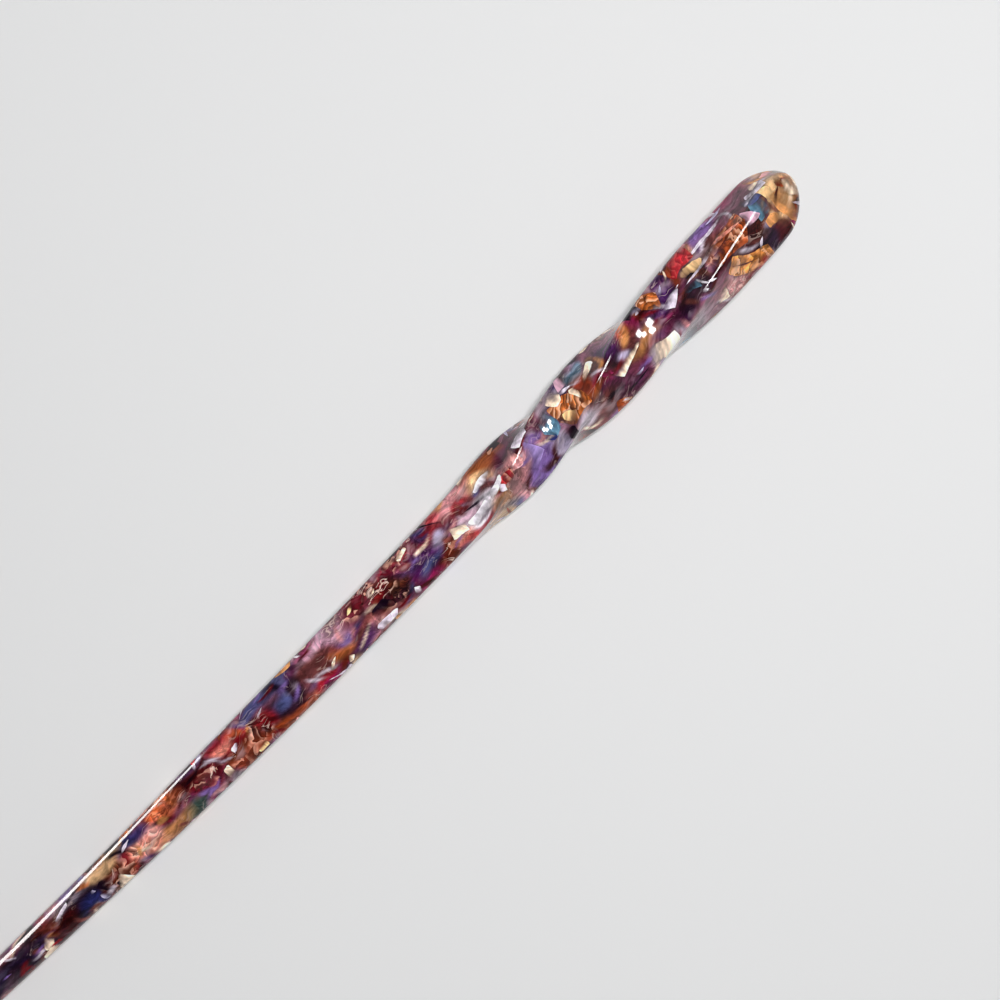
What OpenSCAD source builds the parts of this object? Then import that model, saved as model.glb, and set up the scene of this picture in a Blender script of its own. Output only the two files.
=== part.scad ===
// Hair stick: one bar of rounded-square section, drawn down to a blunt point at
// one end and twisted left-handed through its handle up to a domed crown.
// It lies on its side as it rests on a table: +X runs from the point to the
// crown, +Z is up, and the origin is under the middle of the stick.

/* [Stick] */
// Length from the point to the crown
stick_len = 180; // [140:1:220]
// Width across the flats of the handle
handle_w = 7.1; // [5.5:0.1:9]
// Greatest sideways sway of the centre line
sway = 1.7; // [0:0.1:3]
// How far the middle of the stick hangs below the line between its ends
dip = 1.5; // [0:0.1:3]

/* [Twist] */
// How much of the section table's twist the bar has
twist_share = 1; // [0:0.05:1]
// Which way the ridges climb
hand = "left"; // [left, right]
// How soft the ridges are, as a share of the section table's corner radius
ridge_softness = 1; // [0.6:0.05:1]

/* [Ends] */
// Length of the domed crown
crown_len = 5.4; // [4:0.1:8]
// Length of the rounded point
point_len = 1.4; // [1:0.1:4]

/* [Finish] */
// Flat strips round each corner of a section
corner_strips = 5; // [3:1:6]
// Flat strips across each side of a section
side_strips = 6; // [4:1:6]
// Distance between sections in the twisted handle
handle_step = 1.1; // [1.1:0.1:3]
// Distance between sections in the plain shaft
shaft_step = 4; // [3:0.5:8]

/* [Hidden] */

// Where the stick balances, as a share of its length from the point.
balance = 0.636;

// The sections from the point to the crown. Between two rows each column
// follows a smooth curve that never overshoots them. A whole number of quarter
// turns has a flat side up, which is a waist of the handle, and a half has a
// ridge up, which is the middle of a lobe.
AT = 0;     // distance from the point, percent of stick_len
WIDTH = 1;  // width across the flats, percent of handle_w
CORNER = 2; // corner radius, percent of half the width
TURN = 3;   // quarter turns
SWAY = 4;   // sideways offset of the centre, percent of sway
SECTIONS = [
    // at, width, corner, turn, sway
    [0, 37, 98, -0.13, 0],
    [11.1, 48, 98, -0.10, 39],
    [22.2, 57, 94, -0.07, 71],
    [31.1, 62, 70, -0.04, 89],
    [38.9, 69, 45, -0.02, 98],
    [46.7, 76, 32, 0, 98],
    [55.6, 81, 28, 0, 92],
    [62.2, 83, 31, 0.01, 81],
    [66.1, 85, 33, 0.03, 75],
    [68.9, 86, 33, 0.08, 72],
    [71.1, 86, 33, 0.29, 71],
    [72.9, 87, 32, 0.50, 71],
    [76.6, 87, 32, 1, 72],
    [80.8, 93, 30, 1.50, 72],
    [85.7, 98, 28, 2, 75],
    [90, 100, 28, 2.26, 64],
    [94.2, 97, 29, 2.50, 46],
    [97.2, 99, 34, 2.66, 26],
    [100, 98, 40, 2.78, 0]
];
LAST = len(SECTIONS) - 1;

// Where the plain shaft ends and the close sections of the handle begin.
handle_from = SECTIONS[7][AT] * stick_len / 100;

// Strips along each rounded end.
point_strips = 5;
crown_strips = 9;
// The smallest ring of an end, as an angle from its tip.
tip_angle = 9;
// The largest corner radius, as a share of half the width: a hair of flat stays.
roundest = 0.98;

quarter_turn = hand == "left" ? -90 : 90;

// Rise of a column from row i to the next, per percent of the length.
function rise(i, col) =
    (SECTIONS[i + 1][col] - SECTIONS[i][col]) / (SECTIONS[i + 1][AT] - SECTIONS[i][AT]);

// Slope of a column at row i: level where the column turns back.
function slope(i, col) =
    i == 0 ? rise(0, col)
    : i == LAST ? rise(LAST - 1, col)
    : let (before = rise(i - 1, col), after = rise(i, col))
        before * after <= 0 ? 0 : 2 * before * after / (before + after);

// The row at or before a place along the stick.
function row_before(at, i = 0) =
    i >= LAST - 1 || SECTIONS[i + 1][AT] > at ? i : row_before(at, i + 1);

// Value of a column at a place along the stick.
function column(at, col) =
    let (
        i = row_before(at),
        span = SECTIONS[i + 1][AT] - SECTIONS[i][AT],
        t = (at - SECTIONS[i][AT]) / span
    )
    SECTIONS[i][col] * (1 + 2 * t) * (1 - t) ^ 2
    + slope(i, col) * span * t * (1 - t) ^ 2
    + SECTIONS[i + 1][col] * t ^ 2 * (3 - 2 * t)
    + slope(i + 1, col) * span * t ^ 2 * (t - 1);

// Outline of a square with rounded corners: an arc, then the side that follows it.
function rounded_square(w, r) =
    let (corner = w / 2 - r, side = w - 2 * r)
    [
        for (q = [0:3])
            let (turned = [[cos(90 * q), -sin(90 * q)], [sin(90 * q), cos(90 * q)]])
            each [
                for (k = [0:corner_strips])
                    let (a = 90 * k / corner_strips)
                    turned * [corner + r * cos(a), corner + r * sin(a)],
                for (k = [1:side_strips - 1])
                    turned * [corner - side * k / side_strips, w / 2]
            ]
    ];

// One section in its place, drawn in by an end's share of its full size. A
// section rounds off towards a circle as it is drawn in.
function ring(x, share) =
    let (
        at = 100 * x / stick_len,
        w = handle_w * column(at, WIDTH) / 100,
        soft = ridge_softness * column(at, CORNER) / 100,
        r = w / 2 * (soft + (1 - soft) * (1 - share)),
        a = quarter_turn * twist_share * column(at, TURN),
        y = -sway * column(at, SWAY) / 100,
        z = -dip * sin(180 * x / stick_len)
    )
    [
        for (p = rounded_square(w, min(r, roundest * w / 2)))
            [
                x,
                y + share * (p.x * cos(a) - p.y * sin(a)),
                z + share * (p.x * sin(a) + p.y * cos(a))
            ]
    ];

// Places of the evenly spaced rings between two stations, the last left out.
function steps(from, to, step) =
    let (n = ceil((to - from) / step))
    [for (i = [0:n - 1]) from + (to - from) * i / n];

// Angles at which the rings of a rounded end stand, from its tip to its full width.
function end_angles(n) = [for (i = [0:n - 1]) tip_angle + (90 - tip_angle) * i / n];

rings = concat(
    [for (a = end_angles(point_strips)) ring(point_len * (1 - cos(a)), sin(a))],
    [for (x = steps(point_len, handle_from, shaft_step)) ring(x, 1)],
    [for (x = steps(handle_from, stick_len - crown_len, handle_step)) ring(x, 1)],
    [
        for (i = [0:crown_strips])
            let (a = 90 - (90 - tip_angle) * i / crown_strips)
            ring(stick_len - crown_len * (1 - cos(a)), sin(a))
    ]
);

// The lowest point of each ring, as its place along the stick and its height.
lowest = [for (one = rings) [one[0].x, min([for (p = one) p.z])]];

// A straight floor under two rings, one on either side of the balance: how high
// it passes below the balance, and the tilt that levels it.
balance_x = balance * stick_len;
function floor_under(p, q) =
    [
        p[1] + (q[1] - p[1]) * (balance_x - p[0]) / (q[0] - p[0]),
        atan2(p[1] - q[1], q[0] - p[0])
    ];
floors = [
    for (p = lowest)
        if (p[0] < balance_x)
            each [for (q = lowest) if (q[0] > balance_x) floor_under(p, q)]
];

// The lowest of those floors is the one that the stick rests on.
lowest_floor = min([for (f = floors) f[0]]);
rest_tilt = [for (f = floors) if (f[0] == lowest_floor) f[1]][0];

// Tips a point about the Y axis, crown up.
function tipped(p, a) = [p.x * cos(a) - p.z * sin(a), p.y, p.x * sin(a) + p.z * cos(a)];

resting = [for (one = rings) each [for (p = one) tipped(p, rest_tilt)]];
mid_x = (min([for (p = resting) p.x]) + max([for (p = resting) p.x])) / 2;
mid_y = (min([for (p = resting) p.y]) + max([for (p = resting) p.y])) / 2;
floor_z = min([for (p = resting) p.z]);
points = [for (p = resting) p - [mid_x, mid_y, floor_z]];

ring_points = len(rings[0]);
ring_count = len(rings);

// Two triangles for each field between two rings, and a flat cap on each end.
skin = [
    for (i = [0:ring_count - 2], k = [0:ring_points - 1])
        let (
            next = (k + 1) % ring_points,
            a = i * ring_points + k,
            b = i * ring_points + next,
            c = a + ring_points,
            d = b + ring_points
        )
        each [[a, b, d], [a, d, c]]
];
point_cap = [for (k = [ring_points - 1:-1:0]) k];
crown_cap = [for (k = [0:ring_points - 1]) (ring_count - 1) * ring_points + k];

module stick() {
    color("#7a4a6b")
        polyhedron(points = points, faces = concat(skin, [point_cap, crown_cap]), convexity = 6);
}

stick();
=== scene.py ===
"""A twisted hair stick of polished, chip-pressed acetate, lying on a pale table."""

import math

import bpy
import numpy as np
from bpy.props import FloatProperty, FloatVectorProperty, IntProperty, PointerProperty
from mathutils import Matrix, Vector


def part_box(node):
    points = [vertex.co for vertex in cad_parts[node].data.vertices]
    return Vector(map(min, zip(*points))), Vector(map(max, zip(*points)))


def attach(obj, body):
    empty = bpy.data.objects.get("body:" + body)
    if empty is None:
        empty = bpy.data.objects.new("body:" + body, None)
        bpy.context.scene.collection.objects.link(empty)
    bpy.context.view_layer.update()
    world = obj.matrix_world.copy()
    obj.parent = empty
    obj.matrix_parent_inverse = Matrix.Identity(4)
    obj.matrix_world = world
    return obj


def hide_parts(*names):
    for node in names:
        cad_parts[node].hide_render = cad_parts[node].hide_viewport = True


bl_info = {
    "name": "Twisted Hair Stick",
    "version": (1, 0, 0),
    "blender": (4, 5, 0),
    "location": "3D View > Sidebar > Hair Stick",
    "description": "Builds a twisted acetate hair stick and the table that it lies on",
    "category": "Add Mesh",
}

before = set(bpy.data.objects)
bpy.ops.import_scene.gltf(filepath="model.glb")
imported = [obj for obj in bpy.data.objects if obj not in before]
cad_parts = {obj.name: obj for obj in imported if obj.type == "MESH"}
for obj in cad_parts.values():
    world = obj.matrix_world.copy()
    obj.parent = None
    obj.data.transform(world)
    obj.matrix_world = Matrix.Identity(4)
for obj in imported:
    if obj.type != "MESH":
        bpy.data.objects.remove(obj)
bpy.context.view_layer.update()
STICK_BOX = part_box("stick")
# A millimetre in metres.
MM = 0.001
# How far the finer skin's box may be off the CAD node's.
BOX_SLACK = 0.3 * MM

# The sections from the point to the crown, as the CAD part has them. A whole
# number of quarter turns has a flat side up, and a half has a ridge up.
SECTION_COLUMNS = ("at", "width", "corner", "turn", "sway")
SECTIONS = (
    # percent of length, percent of handle width, percent of half width, quarters, percent of sway
    (0, 37, 98, -0.13, 0),
    (11.1, 48, 98, -0.10, 39),
    (22.2, 57, 94, -0.07, 71),
    (31.1, 62, 70, -0.04, 89),
    (38.9, 69, 45, -0.02, 98),
    (46.7, 76, 32, 0, 98),
    (55.6, 81, 28, 0, 92),
    (62.2, 83, 31, 0.01, 81),
    (66.1, 85, 33, 0.03, 75),
    (68.9, 86, 33, 0.08, 72),
    (71.1, 86, 33, 0.29, 71),
    (72.9, 87, 32, 0.50, 71),
    (76.6, 87, 32, 1, 72),
    (80.8, 93, 30, 1.50, 72),
    (85.7, 98, 28, 2, 75),
    (90, 100, 28, 2.26, 64),
    (94.2, 97, 29, 2.50, 46),
    (97.2, 99, 34, 2.66, 26),
    (100, 98, 40, 2.78, 0),
)
# Where the stick balances, as a share of its length from the point.
BALANCE = 0.636
# The largest corner radius, as a share of half the width.
ROUNDEST = 0.98

# Colours of the pressed chips as a screen shows them, 0 to 255, before the
# material's gain and gamma.
CHIP_COLOURS = (
    # name, red, green, blue
    ("ink", 40, 20, 42),
    ("night", 44, 34, 60),
    ("umber", 84, 28, 24),
    ("burgundy", 88, 18, 26),
    ("wine", 130, 30, 44),
    ("brown", 146, 74, 44),
    ("cocoa", 130, 82, 76),
    ("tan", 204, 156, 110),
    ("sand", 218, 188, 150),
    ("cream", 234, 216, 198),
    ("rust", 168, 96, 56),
    ("honey", 196, 142, 88),
    ("amber", 190, 122, 72),
    ("orange", 204, 122, 82),
    ("salmon", 212, 152, 138),
    ("rose", 208, 158, 160),
    ("pink", 200, 168, 182),
    ("magenta", 160, 52, 104),
    ("red", 166, 54, 64),
    ("plum", 104, 54, 82),
    ("mauve", 140, 96, 114),
    ("purple", 90, 50, 108),
    ("violet", 134, 112, 160),
    ("iris", 172, 154, 198),
    ("lilac", 182, 176, 196),
    ("slate", 98, 104, 142),
    ("navy", 62, 68, 118),
    ("teal", 110, 142, 160),
    ("sea", 72, 116, 110),
    ("smoke", 162, 150, 158),
    ("mist", 206, 198, 208),
    ("white", 236, 232, 238),
)

# Chips that lie along the side that faces up, each by its middle, in millimetres
# from the crown and across from a straight line through the crown. Later rows
# lie over earlier ones. Soft chips lie deep in the binder, and crisp ones near
# the polished surface. Crumple is how far a chip is folded, which the material
# shows as painted light and shade on its folds.
CHARTED_LENGTH = 137
SOFT_CHIPS = (
    # from crown, across, length, width, angle, colour, crumple
    (2.4, 0.2, 5.0, 7.5, 0, "sand", 0.1),
    (4.0, 3.4, 4.6, 1.6, -12, "rose", 0.1),
    (8.0, 3.6, 5.5, 1.1, 0, "magenta", 0.3),
    (10.5, 1.9, 10.0, 3.4, 3, "mauve", 0.3),
    (12.4, 2.9, 4.0, 1.2, 14, "violet", 0.3),
    (7.6, -3.2, 3.6, 3.6, 0, "night", 0.2),
    (8.2, -0.5, 3.4, 3.4, 0, "umber", 0.4),
    (12.4, -1.9, 7.5, 2.2, 3, "burgundy", 0.3),
    (17.5, -3.4, 6.5, 3.4, 0, "mauve", 0.1),
    (19.2, -1.8, 7.0, 1.8, 8, "ink", 0.2),
    (14.2, -4.3, 4.0, 1.6, 0, "rose", 0.4),
    (13.4, 1.2, 5.5, 1.2, 8, "cocoa", 0.3),
    (20.6, 2.0, 3.0, 3.2, 40, "purple", 0.4),
    (20.8, -4.5, 4.6, 1.6, 0, "smoke", 0.0),
    (23.2, -2.8, 3.6, 2.2, 18, "plum", 0.3),
    (22.6, 0.2, 4.0, 1.8, 5, "purple", 0.4),
    (27.2, -1.7, 6.0, 2.0, 8, "cocoa", 0.0),
    (27.6, -1.7, 5.4, 1.3, 12, "tan", 0.0),
    (26.8, 1.3, 3.0, 2.2, 0, "magenta", 0.4),
    (28.8, 0.5, 3.4, 2.0, 0, "cocoa", 0.2),
    (25.4, -3.8, 5.0, 2.2, 4, "mist", 0.0),
    (31.5, 2.6, 8.0, 2.0, -5, "mauve", 0.2),
    (30.8, 1.0, 3.0, 2.0, 20, "purple", 0.4),
    (32.0, -3.2, 8.5, 3.6, 2, "plum", 0.3),
    (36.0, -3.9, 6.0, 2.6, 4, "cocoa", 0.2),
    (33.6, 0.2, 6.0, 1.2, 0, "umber", 0.2),
    (33.2, -1.1, 3.0, 1.2, 8, "wine", 0.5),
    (35.5, 2.3, 2.2, 2.4, 70, "teal", 0.1),
    (36.6, -0.2, 3.4, 3.4, -30, "brown", 0.1),
    (40.9, 1.9, 3.0, 2.0, 25, "smoke", 0.0),
    (38.6, -3.3, 4.4, 1.4, 8, "mist", 0.0),
    (45.4, -1.8, 5.4, 4.4, 8, "violet", 0.0),
    (46.6, -3.8, 5.6, 1.9, 6, "violet", 0.1),
    (42.0, -2.6, 2.6, 2.2, -20, "lilac", 0.1),
    (48.0, 1.2, 8.0, 2.6, 8, "plum", 0.2),
    (51.5, 2.4, 6.2, 1.8, -2, "amber", 0.1),
    (53.0, 1.5, 4.4, 1.3, -10, "sand", 0.2),
    (49.0, -1.0, 5.0, 3.6, 10, "rose", 0.5),
    (52.0, -2.6, 3.0, 2.6, 45, "tan", 0.3),
    (49.4, -3.5, 3.0, 1.8, 20, "rose", 0.2),
    (57.0, 1.6, 7.5, 2.2, 6, "rose", 0.2),
    (57.4, -0.2, 8.0, 1.8, -6, "plum", 0.3),
    (55.3, -1.9, 6.4, 3.4, 0, "white", 0.0),
    (56.2, -0.9, 3.6, 1.6, 0, "pink", 0.2),
    (58.4, -2.5, 3.4, 2.2, -25, "salmon", 0.4),
    (56.4, -3.5, 4.6, 0.9, -3, "red", 0.3),
    (61.2, 1.2, 4.0, 2.0, 5, "wine", 0.4),
    (62.3, 1.9, 2.4, 1.6, 0, "navy", 0.2),
    (61.0, -2.2, 3.4, 2.6, 15, "brown", 0.6),
    (64.2, -1.4, 5.4, 3.0, 8, "purple", 0.3),
    (64.2, -3.2, 4.6, 1.4, 0, "magenta", 0.2),
    (66.5, 1.2, 7.5, 2.2, 0, "wine", 0.8),
    (69.0, -1.4, 4.0, 3.2, 0, "umber", 0.7),
    (73.0, 1.1, 8.0, 2.4, -4, "wine", 0.8),
    (72.2, -2.8, 6.0, 1.8, 5, "rose", 0.4),
    (73.8, -1.5, 6.0, 1.6, 8, "cocoa", 0.2),
    (75.2, -2.8, 4.4, 1.4, 0, "purple", 0.1),
    (79.2, 1.2, 8.5, 2.4, 0, "pink", 0.4),
    (81.4, 1.6, 3.2, 1.3, 10, "magenta", 0.4),
    (82.6, -1.0, 7.0, 2.2, 4, "cocoa", 0.2),
    (86.0, 1.2, 4.4, 2.4, 15, "slate", 0.3),
    (91.2, 1.2, 9.5, 2.2, 3, "slate", 0.1),
    (87.2, -0.9, 6.0, 2.4, 8, "night", 0.2),
    (88.4, -2.8, 9.5, 1.8, -3, "rust", 0.1),
    (92.6, -0.9, 4.0, 2.8, 0, "umber", 0.8),
    (96.2, 0.7, 5.6, 2.6, -8, "red", 0.2),
    (97.0, 0.4, 2.6, 1.5, 0, "salmon", 0.2),
    (95.6, -2.0, 7.0, 2.2, -12, "brown", 0.6),
    (99.4, -0.9, 3.8, 1.6, 8, "mauve", 0.3),
    (101.4, -0.8, 5.0, 3.6, 0, "wine", 0.8),
    (103.4, 1.1, 5.0, 1.8, 0, "umber", 0.3),
    (104.2, -2.5, 4.0, 1.6, 0, "sea", 0.1),
    (107.3, 0.7, 5.6, 1.9, 0, "orange", 0.5),
    (108.0, -2.1, 6.0, 2.0, -3, "tan", 0.1),
    (112.0, -1.1, 5.4, 2.4, 0, "salmon", 0.9),
    (112.8, 0.8, 4.4, 1.8, 0, "navy", 0.1),
    (116.2, -1.1, 3.2, 2.4, 0, "brown", 0.8),
    (117.6, 0.6, 6.8, 2.0, 4, "sand", 0.1),
    (122.2, -1.2, 7.0, 2.6, 0, "night", 0.1),
    (121.0, -1.6, 2.8, 1.8, 0, "navy", 0.1),
    (123.8, 0.6, 4.8, 1.6, 0, "smoke", 0.1),
    (125.6, -1.1, 4.4, 2.2, 4, "umber", 0.3),
    (128.0, 0.7, 5.4, 1.4, -4, "brown", 0.3),
    (133.0, -0.3, 9.5, 3.4, 0, "night", 0.2),
    (5.4, -3.3, 2.2, 2.4, 0, "burgundy", 0.1),
    (21.9, -3.3, 0.9, 0.7, 20, "rose", 0.0),
    (25.0, 0.8, 1.8, 0.9, 0, "wine", 0.3),
    (28.0, 1.5, 1.3, 0.8, 0, "orange", 0.2),
    (29.8, -0.3, 1.6, 1.0, -30, "lilac", 0.0),
    (34.8, -1.6, 2.4, 1.0, 15, "amber", 0.3),
    (56.4, 0.8, 3.8, 0.7, 6, "red", 0.3),
    (59.8, 2.0, 2.0, 0.8, 0, "red", 0.4),
    (60.8, -0.3, 1.5, 1.2, 40, "lilac", 0.1),
    (63.3, -1.9, 4.6, 0.8, 18, "slate", 0.1),
    (78.7, -1.7, 3.6, 1.5, -4, "amber", 0.2),
    (79.5, -3.0, 2.6, 1.0, 10, "brown", 0.3),
    (81.9, -2.4, 2.6, 0.9, 25, "red", 0.1),
    (84.2, 0.9, 2.4, 1.4, 0, "plum", 0.1),
    (87.6, 0.7, 1.2, 2.4, 10, "ink", 0.1),
    (88.3, -0.6, 2.2, 1.1, 28, "slate", 0.1),
    (90.5, -1.0, 2.2, 1.8, 0, "wine", 0.3),
    (94.9, 0.9, 2.0, 1.2, -38, "orange", 0.1),
    (114.6, -0.5, 1.4, 0.8, 20, "wine", 0.5),
    (120.8, 0.5, 2.0, 0.7, -15, "amber", 0.1),
)
# Small chips deep in the binder all over the stick, under the charted ones.
FILLER_CHIPS = (
    # length, width, angle, colour, crumple
    (3.4, 1.1, 4, "mauve", 0.1),
    (2.6, 1.4, -12, "cocoa", 0.3),
    (4.2, 0.9, 8, "plum", 0.1),
    (2.2, 1.2, 25, "brown", 0.4),
    (3.0, 1.0, 0, "purple", 0.2),
    (2.4, 0.9, -20, "wine", 0.6),
    (1.8, 0.9, 35, "rose", 0.4),
    (3.6, 0.7, 6, "smoke", 0.0),
    (2.0, 1.3, 50, "umber", 0.5),
    (2.6, 0.7, 12, "lilac", 0.0),
    (1.6, 0.8, -35, "tan", 0.4),
    (3.0, 0.9, -6, "magenta", 0.3),
    (2.4, 1.0, 18, "slate", 0.1),
    (2.8, 1.1, -8, "violet", 0.1),
    (1.6, 0.8, 60, "salmon", 0.5),
)
# Shreds and slits that run through the soft chips all over the stick.
SHREDS = (
    # length, width, angle, colour, crumple
    (2.6, 0.45, 6, "cream", 0.0),
    (1.8, 0.4, -15, "mist", 0.0),
    (2.2, 0.5, 20, "rose", 0.1),
    (3.2, 0.4, -4, "ink", 0.0),
    (2.0, 0.45, 12, "wine", 0.2),
    (1.6, 0.5, 40, "tan", 0.1),
    (2.4, 0.45, 0, "violet", 0.0),
    (1.6, 0.45, -40, "cocoa", 0.0),
    (2.8, 0.4, 10, "umber", 0.0),
)
CRISP_CHIPS = (
    # from crown, across, length, width, angle, colour, crumple
    (2.6, -2.1, 3.0, 4.4, 8, "tan", 0.1),
    (1.3, -1.2, 1.2, 3.6, 12, "cream", 0.0),
    (3.2, 3.2, 3.4, 0.6, -14, "tan", 0.2),
    (1.7, 2.3, 2.6, 0.6, -42, "rose", 0.1),
    (2.4, 2.3, 2.6, 0.5, -16, "mist", 0.0),
    (1.1, 1.2, 2.4, 0.5, -58, "cream", 0.0),
    (0.7, -0.6, 2.6, 0.4, -84, "brown", 0.0),
    (2.0, 0.4, 0.8, 1.8, 12, "brown", 0.4),
    (3.4, -0.4, 2.6, 0.4, 38, "umber", 0.0),
    (2.6, -3.1, 1.8, 0.4, 60, "brown", 0.0),
    (5.5, -2.0, 2.0, 1.0, 8, "tan", 0.3),
    (6.0, 0.1, 2.3, 2.9, 0, "teal", 0.0),
    (5.8, 1.3, 2.2, 1.0, -5, "slate", 0.0),
    (4.3, 0.4, 1.2, 2.2, -20, "sand", 0.1),
    (4.6, 2.1, 3.4, 0.6, 10, "mist", 0.0),
    (4.4, 2.8, 1.5, 0.8, 20, "cream", 0.0),
    (8.0, 0.4, 1.4, 2.0, 0, "pink", 0.1),
    (11.6, -0.2, 6.6, 3.0, 0, "rust", 0.8),
    (11.0, 0.8, 5.2, 0.5, -4, "salmon", 0.3),
    (11.0, -3.6, 4.6, 2.0, -22, "honey", 0.75),
    (11.4, -3.4, 3.4, 0.2, -24, "umber", 0.0),
    (15.9, -4.2, 1.6, 1.1, 0, "cream", 0.0),
    (8.4, -3.0, 1.4, 0.4, 40, "mist", 0.0),
    (12.6, 2.45, 8.6, 0.45, 5, "mist", 0.0),
    (14.8, 0.6, 8.0, 0.5, 12, "mist", 0.0),
    (10.0, 3.4, 3.0, 0.4, 6, "lilac", 0.0),
    (17.2, 2.7, 3.8, 2.2, 14, "red", 0.45),
    (19.2, 2.7, 1.2, 1.6, 40, "brown", 0.4),
    (19.6, 2.4, 1.5, 0.4, 60, "cream", 0.0),
    (15.6, 3.2, 1.4, 0.7, 20, "rose", 0.1),
    (16.4, 0.9, 3.0, 1.4, 6, "sand", 0.1),
    (17.2, 0.3, 1.1, 0.7, 0, "ink", 0.0),
    (18.2, -1.1, 2.0, 1.1, -18, "teal", 0.0),
    (16.9, -1.2, 1.5, 0.4, -62, "white", 0.0),
    (16.1, -1.9, 1.4, 0.3, -20, "mist", 0.0),
    (17.5, -2.2, 1.0, 0.5, -15, "white", 0.0),
    (20.4, 0.2, 4.6, 0.9, 24, "mist", 0.0),
    (21.5, 1.5, 2.0, 0.5, 35, "lilac", 0.0),
    (23.2, 1.8, 2.6, 1.8, -30, "amber", 0.9),
    (25.6, 1.9, 2.0, 0.8, 10, "ink", 0.2),
    (25.0, 1.7, 0.8, 0.4, 35, "mist", 0.0),
    (29.6, -1.3, 4.6, 0.8, 12, "cream", 0.0),
    (25.4, -3.7, 4.0, 1.9, 5, "cream", 0.05),
    (29.6, -3.4, 1.5, 0.4, 0, "lilac", 0.0),
    (31.2, -4.1, 5.4, 0.3, 4, "ink", 0.0),
    (32.6, -0.8, 1.4, 0.9, 10, "magenta", 0.4),
    (34.2, 1.0, 2.5, 0.7, 12, "cream", 0.0),
    (37.2, 2.5, 1.8, 1.3, 0, "pink", 0.1),
    (37.8, 1.5, 2.2, 0.5, -10, "mist", 0.0),
    (39.0, -0.4, 3.4, 3.4, 10, "amber", 1.0),
    (39.3, 1.6, 1.3, 1.5, 50, "cream", 0.1),
    (39.3, -1.3, 1.0, 1.5, 60, "sand", 0.1),
    (37.2, -0.2, 0.5, 2.2, -10, "cream", 0.0),
    (42.0, -0.3, 2.6, 3.0, 18, "teal", 0.3),
    (42.7, -1.6, 1.4, 0.7, -40, "navy", 0.0),
    (40.2, -2.8, 1.3, 1.5, 0, "ink", 0.0),
    (45.2, 1.3, 2.8, 1.2, 15, "mist", 0.2),
    (48.8, -0.1, 3.6, 2.0, 12, "rose", 0.5),
    (49.8, -1.0, 2.2, 1.2, 0, "red", 0.7),
    (50.0, -1.1, 0.9, 0.5, 0, "rose", 0.2),
    (51.6, -0.8, 3.0, 1.0, 22, "white", 0.0),
    (51.0, -1.6, 1.0, 1.0, 60, "mist", 0.0),
    (48.4, 2.8, 1.8, 0.8, 0, "umber", 0.7),
    (52.3, 0.7, 2.8, 0.6, 3, "white", 0.0),
    (54.4, -0.6, 5.0, 0.3, -8, "ink", 0.0),
    (54.7, -2.5, 3.0, 0.5, 4, "smoke", 0.0),
    (67.0, -3.1, 1.0, 0.8, 60, "white", 0.0),
    (65.3, 1.4, 2.0, 0.6, 15, "cream", 0.5),
    (71.3, -1.2, 3.4, 1.1, 0, "ink", 0.2),
    (71.2, 0.8, 1.6, 0.4, 20, "cream", 0.45),
    (74.3, 1.3, 1.6, 0.4, 30, "sand", 0.45),
    (71.6, -2.9, 3.0, 0.9, 6, "mist", 0.2),
    (78.3, -3.1, 0.8, 0.8, 60, "cream", 0.45),
    (80.4, -1.9, 1.8, 0.5, 30, "cream", 0.5),
    (82.8, 1.9, 1.3, 0.2, -35, "white", 0.0),
    (91.0, 0.1, 2.0, 0.3, 22, "mist", 0.0),
    (93.3, -3.0, 1.5, 0.6, 0, "sand", 0.45),
    (95.9, -0.5, 1.0, 0.7, 20, "mist", 0.0),
    (98.2, -2.3, 1.0, 1.4, 20, "cream", 0.45),
    (101.0, 1.5, 1.2, 0.5, 60, "mist", 0.0),
    (118.4, -1.1, 1.8, 1.3, -30, "ink", 0.0),
    (119.4, -1.9, 1.2, 0.8, 0, "lilac", 0.0),
    (120.3, -0.8, 0.9, 0.5, 0, "lilac", 0.0),
    (116.5, -2.1, 1.5, 0.6, 0, "ink", 0.0),
    (113.6, 0.5, 2.2, 0.4, 20, "mist", 0.0),
    (124.6, 0.4, 2.4, 0.6, 15, "mist", 0.0),
    (128.3, -1.4, 1.6, 1.3, 55, "cream", 0.0),
    (127.0, -1.9, 3.0, 0.4, -4, "red", 0.2),
    (129.4, 0.6, 2.4, 0.3, -8, "umber", 0.0),
    (135.0, -0.4, 2.0, 0.2, -5, "violet", 0.0),
    (45.9, -1.7, 2.6, 2.2, 30, "iris", 0.0),
    (55.2, -1.9, 3.4, 1.3, 8, "white", 0.1),
    (58.3, -1.5, 2.2, 1.4, -16, "cream", 0.3),
    (5.2, 1.9, 4.0, 0.8, 15, "mist", 0.1),
)
# Chips that lie flat on the crown's tip, placed across and up from its middle.
TIP_CHIPS = (
    # across, up, length, width, angle, colour, crumple
    (0.0, 0.0, 8.0, 8.0, 0, "tan", 0.1),
    (0.5, -1.5, 3.2, 1.8, 20, "brown", 0.3),
    (-1.0, 0.9, 2.6, 1.3, -30, "cream", 0.0),
    (1.5, 0.9, 1.8, 1.6, 60, "umber", 0.2),
    (-1.5, -0.9, 1.8, 1.5, 10, "mauve", 0.1),
    (0.6, 0.4, 1.8, 0.6, 35, "sand", 0.0),
    (-0.2, -0.5, 2.4, 0.5, -15, "wine", 0.1),
)


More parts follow.
